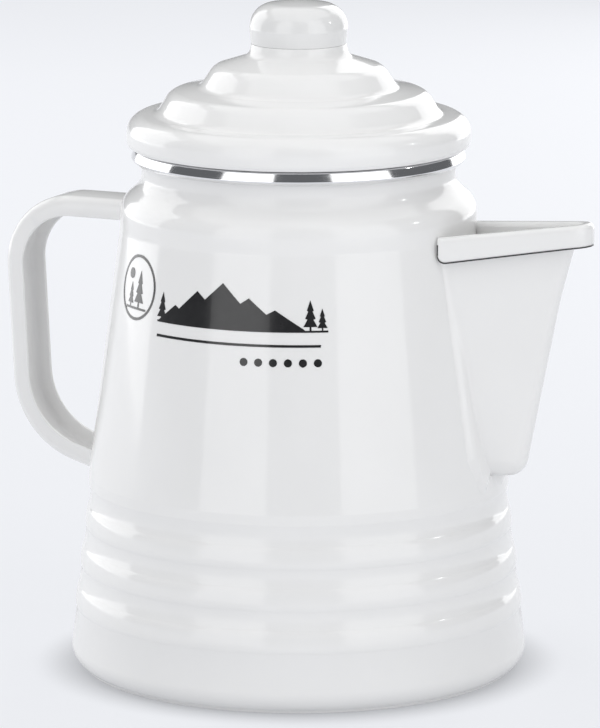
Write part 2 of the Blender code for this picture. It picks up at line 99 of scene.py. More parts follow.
# Sizes that shape the spout: (height, half width on the pot) and the front edge seen from the side
SPOUT_HALVES = ((66.9, 1.0), (68.5, 3.4), (71.0, 5.1), (74.0, 6.5), (82.0, 8.5), (92.9, 10.6),
                (112.2, 12.5), (134.1, 14.7), (150.0, 15.8))
NOSE_R = 3.4
HEM_THICK, HEM_BITE, HEM_END_R = 4.2, 0.8, 2.6
HEM_TOP_AT_POT, HEM_TALL_AT_POT = 145.3, 8.3
HEM_TOP_AT_TIP, HEM_TALL_AT_TIP = high("spout").z + 0.3, 7.1
# Flange seen from the front: half width and height. Below the nose it ends in two round tongues.
FLANGE_TOP = (17.3, 143.5)
FLANGE_LOW = (15.9, 73.5)
TONGUE_TIP = (8.8, 59.4)
NOTCH = (0.0, 67.2)
SPOUT_FILLET = 3.6

# Handle
HANDLE_DEEP, HANDLE_SHEET = 6.4, 1.3
HANDLE_PATH = ((-50.0, 148.0), (-101.22, 148.2, 23.0), (-96.9, 67.0, 29.5), (-60.0, 55.7))

# Lid and knob: radius, height and fillet of the lid's corners, from its neck down over the three tiers
KNOB_HOLE_R = 11.5
LID_NECK = ((15.15, LID_TOP, 0.15), (15.6, 197.6, 3.2))
LID_TIERS = (
    (27.0, 194.0, 6.0), (31.4, 187.4, 3.5), (40.9, 185.8, 5.0), (45.2, 178.9, 3.5), (LID_R, 178.2, 5.5),
)
LID_EDGE_WIDE = 4.1
SKIRT_R, SKIRT_SHEET = 47.9, 0.7
KNOB_TOP_CORNER = (14.7, HEIGHT - 1.6, 7.6)
KNOB_LOW_CORNER = (15.7, 206.2, 4.0)
KNOB_FOOT_R, KNOB_BORE_R, KNOB_BORE_TOP, KNOB_WALL = 15.1, 9.3, 209.0, 2.6
KNOB_SEAM = 0.06           # hairline between knob and lid
SEAT_R, SEAT_DEEP = 13.7, 1.25
SEAL_INNER_R, SEAL_R, SEAL_THICK = 11.6, 13.3, 0.7
LUG_HALF, LUG_REACH, LUG_THICK = 4.6, 12.6, 1.5

# Brewing insert
BELL_TOP, BELL_SHEET, BELL_NOTCHES = 15.0, 0.7, 6
BASKET_SHEET, BASKET_RIM_THICK = 0.6, 1.1
PIERCED_RINGS = ((12.0, 10), (18.0, 16), (24.0, 22), (30.0, 28), (36.0, 34))
PIERCED_HOLE_R = 0.8


# ---------------------------------------------------------------- outline tools

def rounded(corners, steps=FINE):
    """An outline through corners (a, b) or (a, b, fillet radius), with each fillet as an arc."""
    outline = []
    for i, corner in enumerate(corners):
        point = Vector(corner[:2])
        radius = corner[2] if len(corner) > 2 else 0.0
        if not radius:
            outline.append(tuple(point))
            continue
        before = (Vector(corners[i - 1][:2]) - point).normalized()
        after = (Vector(corners[(i + 1) % len(corners)][:2]) - point).normalized()
        half_angle = before.angle(after) / 2
        centre = point + (before + after).normalized() * radius / math.sin(half_angle)
        tangent = radius / math.tan(half_angle)
        start = point + before * tangent - centre
        end = point + after * tangent - centre
        sweep = start.angle(end)
        for k in range(steps + 1):
            t = k / steps
            arm = start * math.sin((1 - t) * sweep) + end * math.sin(t * sweep)
            outline.append(tuple(centre + arm / math.sin(sweep)))
    return outline


def smooth_through(stations, x):
    """A curve through (position, value) stations that does not overshoot them."""
    at = np.array([s[0] for s in stations], float)
    value = np.array([s[1] for s in stations], float)
    rise = np.diff(value) / np.diff(at)
    slope = np.concatenate([[rise[0]], np.where(rise[:-1] * rise[1:] > 0,
                            2 * rise[:-1] * rise[1:] / (rise[:-1] + rise[1:] + 1e-12), 0.0), [rise[-1]]])
    x = np.clip(x, at[0], at[-1])
    i = np.clip(np.searchsorted(at, x, side="right") - 1, 0, len(at) - 2)
    span = at[i + 1] - at[i]
    t = (x - at[i]) / span
    return (value[i] * (1 + 2 * t) * (1 - t) ** 2 + value[i + 1] * t * t * (3 - 2 * t)
            + span * (slope[i] * t * (1 - t) ** 2 - slope[i + 1] * t * t * (1 - t)))


def smoothstep(t):
    t = np.clip(t, 0.0, 1.0)
    return t * t * (3 - 2 * t)


def blended_max(a, b, width):
    """The larger of two heights, with a soft hollow of about that width where they cross."""
    share = np.clip(0.5 + 0.5 * (a - b) / width, 0.0, 1.0)
    return b * (1 - share) + a * share + width * share * (1 - share)


# ---------------------------------------------------------------- mesh tools

def finish_mesh(name, shape, sharp=35.0):
    bmesh.ops.recalc_face_normals(shape, faces=shape.faces)
    mesh = bpy.data.meshes.new(name)
    shape.to_mesh(mesh)
    shape.free()
    mesh.shade_smooth()
    mesh.set_sharp_from_angle(angle=math.radians(sharp))
    made = bpy.data.objects.new(name, mesh)
    bpy.context.scene.collection.objects.link(made)
    return made


def revolved(name, outline, turns=TURNS, closed=False, sharp=35.0):
    """A turned solid. The outline is (radius, height); an end on the axis closes to a point."""
    shape = bmesh.new()
    columns = []
    poles = {i: shape.verts.new((0, 0, z * MM)) for i, (r, z) in enumerate(outline) if r < 1e-6}
    for k in range(turns):
        c, s = math.cos(2 * math.pi * k / turns), math.sin(2 * math.pi * k / turns)
        columns.append([poles[i] if i in poles else shape.verts.new((r * c * MM, r * s * MM, z * MM))
                        for i, (r, z) in enumerate(outline)])
    count = len(outline)
    for k, column in enumerate(columns):
        beside = columns[(k + 1) % turns]
        for i in range(count if closed else count - 1):
            j = (i + 1) % count
            corners = [column[i], column[j], beside[j], beside[i]]
            unique = list(dict.fromkeys(corners))
            if len(unique) > 2:
                shape.faces.new(unique)
    return finish_mesh(name, shape, sharp)


def grid_mesh(name, points, sharp=50.0):
    """An open surface through a grid of points[row][column], in millimetres."""
    shape = bmesh.new()
    rows = [[shape.verts.new(Vector(p) * MM) for p in row] for row in points]
    for below, above in zip(rows, rows[1:]):
        for i in range(len(below) - 1):
            shape.faces.new((below[i], below[i + 1], above[i + 1], above[i]))
    return finish_mesh(name, shape, sharp)


def lofted(name, sections, sharp=35.0):
    """A closed solid through rings of matching points, in millimetres, capped at both ends."""
    shape = bmesh.new()
    rings = [[shape.verts.new(Vector(p) * MM) for p in ring] for ring in sections]
    for near, far in zip(rings, rings[1:]):
        for i, corner in enumerate(near):
            j = (i + 1) % len(near)
            shape.faces.new((corner, near[j], far[j], far[i]))
    caps = [shape.faces.new(rings[0]), shape.faces.new(rings[-1])]
    bmesh.ops.triangulate(shape, faces=caps)
    return finish_mesh(name, shape, sharp)


def applied(piece):
    """Makes the piece's modifiers part of its mesh."""
    bpy.context.view_layer.update()
    evaluated = piece.evaluated_get(bpy.context.evaluated_depsgraph_get())
    mesh = bpy.data.meshes.new_from_object(evaluated)
    piece.modifiers.clear()
    piece.data = mesh
    return piece


def solidified(piece, thickness, offset=-1.0, even=True):
    shell = piece.modifiers.new("sheet", "SOLIDIFY")
    shell.thickness = thickness * MM
    shell.offset = offset
    shell.use_even_offset = even
    return applied(piece)


def combined(piece, tool, operation, sharp=35.0):
    step = piece.modifiers.new("join", "BOOLEAN")
    step.operation = operation
    step.solver = "EXACT"
    step.object = tool
    applied(piece)
    bpy.data.objects.remove(tool)
    piece.data.shade_smooth()
    piece.data.set_sharp_from_angle(angle=math.radians(sharp))
    return piece


def rods(name, feet, axis, radius, length, sides=20):
    shape = bmesh.new()
    turn = Vector((0, 0, 1)).rotation_difference(Vector(axis)).to_matrix().to_4x4()
    for foot in feet:
        middle = Vector(foot) + Vector(axis) * length / 2
        bmesh.ops.create_cone(
            shape, cap_ends=True, segments=sides, radius1=radius * MM, radius2=radius * MM,
            depth=length * MM, matrix=Matrix.Translation(middle * MM) @ turn)
    return finish_mesh(name, shape)


def blocks(name, boxes):
    shape = bmesh.new()
    for centre, size, turn in boxes:
        place = Matrix.Rotation(math.radians(turn), 4, "Z") @ Matrix.Translation(Vector(centre) * MM)
        bmesh.ops.create_cube(shape, size=1.0, matrix=place @ Matrix.Diagonal((*(s * MM for s in size), 1.0)))
    return finish_mesh(name, shape)


def ring_of_points(rings, height):
    return [(radius * math.cos(2 * math.pi * (k + 0.5) / count),
             radius * math.sin(2 * math.pi * (k + 0.5) / count), height)
            for radius, count in rings for k in range(count)]


def dress(piece, skin, body, slot, *nodes):
    """Gives a piece its material and body, and hides the frame nodes it stands for."""
    piece.data.materials.clear()
    piece.data.materials.append(skin)
    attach(piece, body)
    if nodes:
        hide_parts(*nodes)
    return piece


# ---------------------------------------------------------------- materials

def principled(name, colour, roughness, metallic=0.0, coat=0.0, coat_roughness=0.03, ior=1.5):
    made = bpy.data.materials.new(name)
    made.use_nodes = True
    shader = made.node_tree.nodes["Principled BSDF"]
    shader.inputs["Base Color"].default_value = (*colour, 1.0)
    shader.inputs["Roughness"].default_value = roughness
    shader.inputs["Metallic"].default_value = metallic
    shader.inputs["Coat Weight"].default_value = coat
    shader.inputs["Coat Roughness"].default_value = coat_roughness
    shader.inputs["IOR"].default_value = ior
    return made, made.node_tree, shader


def add(tree, kind, **values):
    node = tree.nodes.new(kind)
    for key, value in values.items():
        if key in node.inputs:
            node.inputs[key].default_value = value
        else:
            setattr(node, key, value)
    return node


def noise(tree, scale, detail=3.0, roughness=0.5, stretch=None):
    """Noise in the object's own space, with its coordinates stretched if asked."""
    place = add(tree, "ShaderNodeTexCoord")
    texture = add(tree, "ShaderNodeTexNoise", Scale=scale, Detail=detail, Roughness=roughness)
    source = place.outputs["Object"]
    if stretch:
        mapping = add(tree, "ShaderNodeMapping")
        mapping.inputs["Scale"].default_value = stretch
        tree.links.new(source, mapping.inputs["Vector"])
        source = mapping.outputs["Vector"]
    tree.links.new(source, texture.inputs["Vector"])
    return texture.outputs["Fac"]


def ramp(tree, source, stops):
    node = add(tree, "ShaderNodeValToRGB")
    elements = node.color_ramp.elements
    while len(elements) < len(stops):
        elements.new(0.5)
    for element, (position, colour) in zip(elements, stops):
        element.position = position
        element.color = (*colour, 1.0)
    tree.links.new(source, node.inputs["Fac"])
    return node.outputs["Color"]


def bump(tree, shader, heights):
    """Stacks bumps given as (height source, strength, distance in millimetres)."""
    previous = None
    for source, strength, distance in heights:
        node = add(tree, "ShaderNodeBump", Strength=strength, Distance=distance * MM)
        tree.links.new(source, node.inputs["Height"])
        if previous:
            tree.links.new(previous, node.inputs["Normal"])
        previous = node.outputs["Normal"]
    tree.links.new(previous, shader.inputs["Normal"])
    if "Coat Normal" in shader.inputs:
        tree.links.new(previous, shader.inputs["Coat Normal"])


def enamel():
    """Fired white enamel: deep gloss over a slightly uneven coat, thinner and greyer on sharp edges."""
    colour = (0.865, 0.863, 0.857)
    made, tree, shader = principled("enamel_white", colour, 0.10, coat=0.1, coat_roughness=0.04, ior=1.46)
    cloud = noise(tree, 30.0, 4.0, 0.55)
    shade = ramp(tree, cloud, [(0.3, [c * 0.975 for c in colour]), (0.7, colour)])
    geometry = add(tree, "ShaderNodeNewGeometry")
    edge = ramp(tree, geometry.outputs["Pointiness"], [(0.53, (0.0,) * 3), (0.62, (1.0,) * 3)])
    mix = add(tree, "ShaderNodeMix", data_type="RGBA", blend_type="MIX")
    weight = add(tree, "ShaderNodeMath", operation="MULTIPLY")
    weight.inputs[1].default_value = 0.25
    tree.links.new(edge, weight.inputs[0])
    tree.links.new(weight.outputs[0], mix.inputs["Factor"])
    tree.links.new(shade, mix.inputs[6])
    mix.inputs[7].default_value = (colour[0] * 0.86, colour[1] * 0.87, colour[2] * 0.90, 1.0)
    tree.links.new(mix.outputs[2], shader.inputs["Base Color"])
    gloss = ramp(tree, noise(tree, 160.0, 2.0), [(0.35, (0.09,) * 3), (0.75, (0.13,) * 3)])
    tree.links.new(gloss, shader.inputs["Roughness"])
    bump(tree, shader, [(noise(tree, 45.0, 1.0), 0.35, 0.10), (noise(tree, 420.0, 2.0), 0.10, 0.02)])
    return made


def polished_trim():
    """Polished stainless ring with faint marks running round it."""
    made, tree, shader = principled("polished_trim", (0.80, 0.80, 0.81), 0.09, metallic=1.0)
    marks = noise(tree, 900.0, 3.0, 0.6, (0.06, 0.06, 1.0))
    gloss = ramp(tree, marks, [(0.3, (0.07,) * 3), (0.8, (0.16,) * 3)])
    tree.links.new(gloss, shader.inputs["Roughness"])
    bump(tree, shader, [(noise(tree, 700.0, 2.0, 0.5, (0.08, 0.08, 1.0)), 0.06, 0.02)])
    return made


def spun_steel(name="spun_steel", roughness=0.22):
    """Stainless sheet with fine turning marks round the axis and a little drawn grain."""
    made, tree, shader = principled(name, (0.66, 0.65, 0.64), roughness, metallic=1.0)
    place = add(tree, "ShaderNodeTexCoord")
    split = add(tree, "ShaderNodeSeparateXYZ")
    tree.links.new(place.outputs["Object"], split.inputs["Vector"])
    flat = add(tree, "ShaderNodeCombineXYZ")
    tree.links.new(split.outputs["X"], flat.inputs["X"])
    tree.links.new(split.outputs["Y"], flat.inputs["Y"])
    radius = add(tree, "ShaderNodeVectorMath", operation="LENGTH")
    tree.links.new(flat.outputs["Vector"], radius.inputs[0])
    rings = add(tree, "ShaderNodeCombineXYZ")
    tree.links.new(radius.outputs["Value"], rings.inputs["X"])
    tree.links.new(split.outputs["Z"], rings.inputs["Y"])
    marks = add(tree, "ShaderNodeTexNoise", Scale=2600.0, Detail=3.0, Roughness=0.6)
    tree.links.new(rings.outputs["Vector"], marks.inputs["Vector"])
    spread = ramp(tree, marks.outputs["Fac"],
                  [(0.3, (roughness * 0.8,) * 3), (0.7, (roughness * 1.45,) * 3)])
    tree.links.new(spread, shader.inputs["Roughness"])
    tone = ramp(tree, noise(tree, 60.0, 3.0), [(0.3, (0.60, 0.595, 0.59)), (0.7, (0.69, 0.685, 0.675))])
    tree.links.new(tone, shader.inputs["Base Color"])
    bump(tree, shader, [(marks.outputs["Fac"], 0.12, 0.02)])
    return made


def moulded_white():
    made, tree, shader = principled("moulded_white", (0.80, 0.80, 0.795), 0.12, coat=0.3)
    cloud = ramp(tree, noise(tree, 70.0, 3.0), [(0.3, (0.785, 0.785, 0.78)), (0.7, (0.81, 0.81, 0.805))])
    tree.links.new(cloud, shader.inputs["Base Color"])
    bump(tree, shader, [(noise(tree, 120.0, 1.0), 0.2, 0.05), (noise(tree, 900.0, 2.0), 0.06, 0.01)])
    return made


def soft_silicone():
    made, tree, shader = principled("soft_silicone", (0.62, 0.62, 0.60), 0.5)
    tree.links.new(ramp(tree, noise(tree, 300.0), [(0.3, (0.58, 0.58, 0.56)), (0.7, (0.66, 0.66, 0.64))]),
                   shader.inputs["Base Color"])
    bump(tree, shader, [(noise(tree, 1500.0), 0.2, 0.02)])
    return made


def bare_edge_and_painted_shade():
    """Dark base enamel, bare where the white coat stops. On the hem's edge bead it is also painted shade for
    the shadow line under the hem.
    """
    made, tree, shader = principled("bare_edge_and_painted_shade", (0.03, 0.03, 0.032), 0.3)
    tree.links.new(ramp(tree, noise(tree, 700.0, 3.0), [(0.3, (0.02,) * 3), (0.75, (0.05, 0.05, 0.052))]),
                   shader.inputs["Base Color"])
    return made


def fired_print():
    """Black ceramic ink fired on to the enamel, glossy with a slightly dry edge to its tone."""
    made, tree, shader = principled("fired_print", (0.012, 0.012, 0.013), 0.18, coat=0.3)
    tone = ramp(tree, noise(tree, 400.0, 4.0), [(0.3, (0.010, 0.010, 0.011)), (0.7, (0.018, 0.018, 0.019))])
    tree.links.new(tone, shader.inputs["Base Color"])
    bump(tree, shader, [(noise(tree, 1200.0, 2.0), 0.1, 0.01)])
    return made


def backdrop_with_painted_shadow():
    """Pale sheet with a glow of its own. The glow is dimmed round the pot's foot as a painted contact shadow,
    and raised far off as painted light where less lamp light falls.
    """
    made, tree, shader = principled("backdrop_with_painted_shadow", (0.20, 0.203, 0.21), 0.8)
    tree.links.new(ramp(tree, noise(tree, 3.0), [(0.3, (0.198, 0.201, 0.208)), (0.7, (0.202, 0.205, 0.212))]),
                   shader.inputs["Base Color"])
    shader.inputs["Emission Color"].default_value = (0.92, 0.935, 0.975, 1.0)
    place = add(tree, "ShaderNodeTexCoord")
    distance = add(tree, "ShaderNodeVectorMath", operation="LENGTH")
    tree.links.new(place.outputs["Object"], distance.inputs[0])
    glow = add(tree, "ShaderNodeMath", operation="ADD")
    # Painted shadow and painted light in the glow: the first ramp dims it round the pot's foot as a contact
    # shadow, the second raises it far off.
    for i, (kind, near, far, dim, full) in enumerate((("SMOOTHSTEP", 0.066, 0.087, 0.36, 0.665),
                                                      ("LINEAR", 0.15, 1.3, 0.0, 0.085))):
        painted_shading_ramp = add(tree, "ShaderNodeMapRange", interpolation_type=kind)
        for socket, value in (("From Min", near), ("From Max", far), ("To Min", dim), ("To Max", full)):
            painted_shading_ramp.inputs[socket].default_value = value
        tree.links.new(distance.outputs["Value"], painted_shading_ramp.inputs["Value"])
        tree.links.new(painted_shading_ramp.outputs["Result"], glow.inputs[i])
    tree.links.new(glow.outputs[0], shader.inputs["Emission Strength"])
    return made


# ---------------------------------------------------------------- pot

def foot_wall_radius(z):
    """The straight wall below the waist, without its ribs."""
    return FOOT_LINE_R + (WAIST[0] - FOOT_LINE_R) * z / WAIST[1]


def wall_radius(z):
    """The pot's outer radius from the waist to the shoulder."""
    return np.interp(z, [WAIST[1], TAPER_FOOT[1] - 3.0, TAPER_FOOT[1], TAPER_TOP[1], SHOULDER[1]],
                     [WAIST[0], TAPER_FOOT[0] + 0.15, TAPER_FOOT[0], TAPER_TOP[0], SHOULDER[0]])


def rib(centre):
    """A low band pressed out of the wall, nearly straight across, with a close curve at both edges."""
    points = []
    for k in range(33):
        share = 1.0 - k / 16
        z = centre + share * RIB_HALF
        points.append((foot_wall_radius(z) + RIB_PROUD * (1 - abs(share) ** 3.2), z))
    return points


def pot_outline():
    inner = rounded([
        (FOOT_EDGE_R - 1.6 * SHEET, BOTTOM_THICK - 0.1),
        (FOOT_CORNER[0] - SHEET, FOOT_CORNER[1] + SHEET / 2, FOOT_FILLET - SHEET),
        (WAIST[0] - SHEET, WAIST[1], 4.0), (TAPER_FOOT[0] - SHEET, TAPER_FOOT[1], 8.0),
        (TAPER_TOP[0] - SHEET, TAPER_TOP[1], 12.0), (SHOULDER[0] - SHEET, SHOULDER[1] - 0.6, 2.5),
        (NECK[0] - SHEET, NECK[1] - 0.3, 2.5), (NECK[0] - SHEET + 0.6, LIP_Z)])
    upper = rounded([
        (LIP_R - 2.7, LIP_Z), (LIP_R - 0.3, LIP_Z, 0.5), (LIP_R - 0.3, LIP_Z - 1.2, 0.5),
        (NECK[0] + 0.7, LIP_Z - 1.8, 0.6), (*NECK, 6.0), (*SHOULDER, 8.0), (*TAPER_TOP, 14.0),
        (*TAPER_FOOT, 6.0), (TAPER_FOOT[0] + 0.15, TAPER_FOOT[1] - 3.2, 2.0), WAIST])
    ribs = [point for centre in RIB_CENTRES for point in rib(centre)]
    foot = rounded([ribs[-1], (*FOOT_CORNER, FOOT_FILLET), (FOOT_EDGE_R, BOTTOM_THICK - 0.1)])
    return inner + upper + ribs + foot[1:]


def make_pot(skin):
    pot = revolved("pot_shell", pot_outline(), closed=True)
    feet = []
    for row in range(STRAINER_ROWS):
        offsets = (-6.0, 0.0, 6.0) if row % 2 else (-3.0, 3.0)
        feet += [(STRAINER_BACK, y, STRAINER_LOW + row * STRAINER_PITCH) for y in offsets]
    combined(pot, rods("strainer", feet, (1, 0, 0), STRAINER_HOLE_R, 28.0), "DIFFERENCE")
    return dress(pot, skin, "pot", "white_enamel", "pot_body")


def make_base(skin):
    outline = rounded([
        (0.0, BOTTOM_THICK), (BOTTOM_R, BOTTOM_THICK, 0.4), (BOTTOM_R, 0.0, 0.6), (0.0, 0.0)], 6)
    return dress(revolved("base_plate", outline), skin, "pot", "white_enamel", "pot_bottom")


def make_mouth_ring(skin):
    """A bright sheet ring folded over the lip, leaning in a little towards its top."""
    inside, mouth, foot = LIP_R + GAP, LIP_R - 2.3, low("rim_ring").z
    outline = rounded([
        (mouth, RING_TOP, 0.3), (RING_R - 0.9, RING_TOP, 0.7), (RING_R, foot + 1.1, 0.8),
        (RING_R - 1.0, foot, 0.3), (inside - 1.6, foot, 0.2), (inside - 1.6, foot + 0.6),
        (inside - 0.3, foot + 0.8), (inside - 0.3, LIP_Z + GAP, 0.3), (mouth, LIP_Z + GAP)], 6)
    return dress(revolved("mouth_ring", outline, closed=True), skin, "pot", "bright_trim", "rim_ring")


# ---------------------------------------------------------------- spout

def mouth_reach():
    """Reach of the trough's own edge, under the hem."""
    return REACH - HEM_THICK + HEM_BITE


def along_mouth(x, at_pot, at_tip):
    return at_pot + (at_tip - at_pot) * (x - TAPER_TOP[0]) / (REACH - TAPER_TOP[0])


def rim_height(x):
    """Top of the hem, rising from the pot to the tip."""
    return along_mouth(x, HEM_TOP_AT_POT, HEM_TOP_AT_TIP)


def front_edge(z):
    """How far the spout's front ridge reaches at each height, from its blunt foot to the mouth."""
    outline = np.array(rounded([
        (60.0, 66.2), (77.6, 67.8, 6.3), (89.0, 124.7, 90.0), (93.6, 142.0, 12.0),
        (mouth_reach() + 0.6, 149.5)]))
    return np.interp(z, outline[:, 1], outline[:, 0], left=55.0)


def trough(y, z):
    """Reach of the trough's surface at (y, z): straight walls tangent to a round nose."""
    half = smooth_through(SPOUT_HALVES, z)
    reach = front_edge(z)
    seam_x = np.sqrt(wall_radius(z) ** 2 - half ** 2)
    nose = np.minimum(NOSE_R, half * 0.6)
    centre_x = reach - nose
    dx, dy = centre_x - seam_x, -half
    span = np.maximum(np.hypot(dx, dy), nose * 1.001)
    heading = np.arctan2(dy, dx) + np.arcsin(nose / span)
    heading = np.clip(heading, -1.0, -0.05)
    touch_y = nose * np.cos(heading)
    touch_x = centre_x - nose * np.sin(heading)
    arc = centre_x + np.sqrt(np.maximum(nose ** 2 - y ** 2, 0.0))
    wall = touch_x + (np.abs(y) - touch_y) / np.tan(heading)
    return np.where(np.abs(y) < touch_y, arc, wall)


def flange_half(z):
    """Half width of the flange between its straight sides."""
    slope = (FLANGE_TOP[0] - FLANGE_LOW[0]) / (FLANGE_TOP[1] - FLANGE_LOW[1])
    return FLANGE_LOW[0] + (z - FLANGE_LOW[1]) * slope


def flange_foot(y):
    """Height of the flange's lower edge, which runs down from each side to a tongue and up to a notch."""
    edge = np.array(rounded([NOTCH, (*TONGUE_TIP, 3.5), (*FLANGE_LOW, 10.0), FLANGE_TOP]))
    return np.interp(np.abs(y), edge[:, 0], edge[:, 1])


def spout_face(y, z):
    """The pressed sheet's outer face: the flange on the pot, blended into the trough."""
    slope = (flange_foot(y + 0.05) - flange_foot(y - 0.05)) / 0.1
    above_edge = (z - flange_foot(y)) / np.sqrt(1 + slope ** 2)
    margin = np.minimum(flange_half(z) - np.abs(y), above_edge)
    lift = (GAP + SHEET) * smoothstep(margin / 4.5) - 0.1
    flange = np.sqrt(np.maximum((wall_radius(z) + lift) ** 2 - y ** 2, 1.0))
    return blended_max(trough(y, z), flange, SPOUT_FILLET)


def mouth_line(share):
    """Where a line of the sheet at this share of its width ends under the hem: (y, z)."""
    z = np.full_like(share, HEM_TOP_AT_POT)
    for _ in range(30):
        y = share * flange_half(z)
        z = 0.5 * z + 0.5 * (rim_height(spout_face(y, z)) - 1.6)
    return z


def foot_line(share):
    """Where a line of the sheet at this share of its width starts on the flange's lower edge."""
    z = np.full_like(share, FLANGE_LOW[1])
    for _ in range(60):
        z = 0.7 * z + 0.3 * flange_foot(share * flange_half(z))
    return z


def hem_section(tall):
    """The rolled edge, outward and up from the top of the trough's outer face."""
    out = HEM_THICK - HEM_BITE
    return rounded([
        (-HEM_BITE, -2.2), (-HEM_BITE, 0.0, 1.7), (out, 0.0, 1.7), (out, -tall, 1.4),
        (0.8, -tall, 0.6), (0.8, -3.2, 0.3), (0.2, -2.2)], 6)


def hem_run():
    """Stations along the hem: plan point, outward direction, top and how far it hangs down."""
    half = float(smooth_through(SPOUT_HALVES, np.array([145.5]))[0]) + 0.1
    across = np.concatenate([np.linspace(-half, -NOSE_R, 24)[:-1], np.linspace(-NOSE_R, NOSE_R, 25),
                             np.linspace(NOSE_R, half, 24)[1:]])
    z = np.full_like(across, HEM_TOP_AT_POT)
    for _ in range(30):
        x = trough(across, z)
        z = 0.5 * z + 0.5 * (rim_height(x) - 1.6)
    gone = np.concatenate([[0.0], np.cumsum(np.hypot(np.diff(x), np.diff(across)))])
    total = gone[-1]
    near = HEM_END_R * (1 - np.cos(np.linspace(0, math.pi / 2, 7)))
    marks = np.concatenate([near, np.linspace(HEM_END_R, total - HEM_END_R, 72)[1:-1], total - near[::-1]])
    x, y = np.interp(marks, gone, x), np.interp(marks, gone, across)
    along_x, along_y = np.gradient(x, marks), np.gradient(y, marks)
    size = np.hypot(along_x, along_y)
    from_end = np.minimum(np.minimum(marks, total - marks), HEM_END_R)
    cut = HEM_END_R - np.sqrt(HEM_END_R ** 2 - (HEM_END_R - from_end) ** 2)
    tall = along_mouth(x, HEM_TALL_AT_POT, HEM_TALL_AT_TIP) - cut
    return [(Vector((x[i], y[i])), Vector((along_y[i], -along_x[i])) / size[i], rim_height(x[i]), tall[i])
            for i in range(len(marks))]


def make_hem(skin):
    sections = []
    for point, out, top, tall in hem_run():
        sections.append([(point.x + a * out.x, point.y + a * out.y, top + b) for a, b in hem_section(tall)])
    return dress(lofted("spout_hem", sections), skin, "pot", "white_enamel")


def tube(name, path, radius, sides=8):
    """A thin round bead along a path."""
    path = [Vector(p) for p in path]
    rings = []
    for i, point in enumerate(path):
        along = (path[min(i + 1, len(path) - 1)] - path[max(i - 1, 0)]).normalized()
        across = along.cross(Vector((0.3, 0.1, 0.95))).normalized()
        beside = along.cross(across)
        rings.append([point + (across * math.cos(2 * math.pi * k / sides)
                               + beside * math.sin(2 * math.pi * k / sides)) * radius for k in range(sides)])
    return lofted(name, rings, 80.0)


def outside_wall(place, out, z):
    """The same place moved along the hem until it is clear of the pot's wall at this height."""
    clear = float(wall_radius(z)) + 0.15
    if place.length < clear:
        along = Vector((abs(out.y), out.x if out.y < 0 else -out.x))
        reached = place.dot(along)
        place = place + along * (math.sqrt(reached ** 2 - place.length_squared + clear ** 2) - reached)
    return (*place, z)


def make_hem_edge(skin):
    """The bare edge of the rolled sheet, dark also as painted shade for the shadow line under the hem: a dark
    bead under the hem that turns up round both its ends.
    """
    run = hem_run()
    reach = HEM_THICK - HEM_BITE - 0.3
    lower = [outside_wall(point + reach * out, out, top - tall + 0.25) for point, out, top, tall in run]
    ends = []
    for point, out, top, tall in (run[0], run[-1]):
        ends.append([outside_wall(point + (reach + 0.25) * out, out, z)
                     for z in np.linspace(top - 2.0, top - tall + 0.6, 7)])
    return dress(tube("hem_edge", ends[0] + lower + ends[1][::-1], 0.22), skin, "pot", "white_enamel")


def make_spout(skin):
    rows, columns = 170, 161
    share = np.linspace(-1, 1, columns)
    share = np.sign(share) * np.abs(share) ** 1.1
    top = mouth_line(share)
    foot = foot_line(share)
    points = []
    for row in range(rows + 1):
        t = row / rows
        z = foot + (top - foot) * (t ** 1.5)
        y = share * flange_half(z)
        points.append(np.stack([spout_face(y, z), y, z], 1).tolist())
    sheet = solidified(grid_mesh("pour_spout", points), SHEET, even=False)
    sheet.data.shade_smooth()
    sheet.data.set_sharp_from_angle(angle=math.radians(50))
    return dress(sheet, skin, "pot", "white_enamel", "spout")


# ---------------------------------------------------------------- handle

def channel_section():
    """U section: across the handle, and depth in from the web's outer face."""
    half, deep, sheet = HANDLE_HALF, HANDLE_DEEP, HANDLE_SHEET
    return rounded([
        (-half, deep, 0.5), (-half, 0.0, 3.2), (half, 0.0, 3.2), (half, deep, 0.5),
        (half - sheet, deep, 0.5), (half - sheet, sheet, 1.9), (sheet - half, sheet, 1.9),
        (sheet - half, deep, 0.5)], 6)


def handle_sections():
    path = [Vector(p) for p in rounded(HANDLE_PATH, 28)]
    dense = []
    for a, b in zip(path, path[1:]):
        pieces = max(1, int((b - a).length / 2.5))
        dense += [a.lerp(b, k / pieces) for k in range(pieces)]
    dense.append(path[-1])
    section = channel_section()
    rings = []
    for i, point in enumerate(dense):
        along = (dense[min(i + 1, len(dense) - 1)] - dense[max(i - 1, 0)]).normalized()
        inward = Vector((-along.y, along.x))
        rings.append([(point.x + d * inward.x, y, point.y + d * inward.y) for y, d in section])
    return rings


def make_handle(skin):
    grip = lofted("grip", handle_sections())
    wall = [(float(wall_radius(z)) - 0.4, z) for z in np.linspace(SHOULDER[1] + 6, WAIST[1], 40)]
    low_z = WAIST[1] - 20.0
    below = [(foot_wall_radius(low_z), low_z), (0.0, low_z)]
    core = revolved("wall_core", [(0.0, wall[0][1])] + wall + below)
    combined(grip, core, "DIFFERENCE")
    return dress(grip, skin, "pot", "white_enamel", "handle")


# ---------------------------------------------------------------- lid and knob

def make_lid(skin):
    outline = rounded([
        (KNOB_HOLE_R, LID_TOP), *LID_NECK, *LID_TIERS,
        (LID_R, LID_FOOT, 2.0), (LID_R - LID_EDGE_WIDE, LID_FOOT)])
    lid = solidified(revolved("lid_cover", outline), SHEET)
    notch = ((0.0, 0.0, LID_TOP - 0.5), (2 * LUG_HALF + 1.2, 2 * (LUG_REACH + GAP), 2.6), 0.0)
    combined(lid, blocks("notches", [notch]), "DIFFERENCE")
    return dress(lid, skin, "lid", "white_enamel", "lid_shell")


